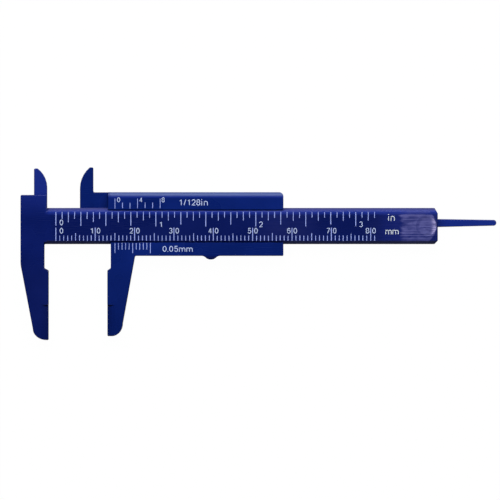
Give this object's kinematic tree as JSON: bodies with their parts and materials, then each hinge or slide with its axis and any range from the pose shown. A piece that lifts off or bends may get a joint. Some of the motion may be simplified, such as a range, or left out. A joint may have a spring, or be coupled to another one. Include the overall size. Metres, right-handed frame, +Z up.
{
  "type": "plastic vernier caliper",
  "caption": "Blue plastic vernier caliper, 0 to 80 mm: dovetailed beam with fixed jaws, and a slider with moving jaws, depth rod and spring tongue.",
  "frame": {"origin": "bottom centre of the whole caliper's box as it lies on its back with the outside jaws 15 mm open", "axes": "+X along the beam from the fixed jaws to the free end, +Y towards the inside jaws, +Z up out of the side with the scales"},
  "size_m": [0.121, 0.044, 0.0039],
  "materials": {
    "beam_plastic": "semi-gloss moulded dark blue, fine scratches along the beam, rubbed at the thumb dish",
    "slider_plastic": "semi-gloss moulded dark blue",
    "scale_ink": "white printed scale marks and numbers, thin enough for the blue to tint them"
  },
  "bodies": {
    "beam": {"beam": "beam_plastic"},
    "slider": {"slider": "slider_plastic"},
    "spring_tongue": {"spring_tongue": "slider_plastic"}
  },
  "joints": [
    {"name": "slider_slide", "type": "slide", "parent": "beam", "child": "slider", "axis": [1, 0, 0], "range_m": [-0.015, 0.0925]},
    {"name": "tongue_flex", "type": "hinge", "parent": "slider", "child": "spring_tongue", "pos_m": [-0.01533, 0.00784, 0.0004], "axis": [0, -1, 0], "range_deg": [0, 2.5], "stiffness_Nm_per_rad": 0.01}
  ]
}
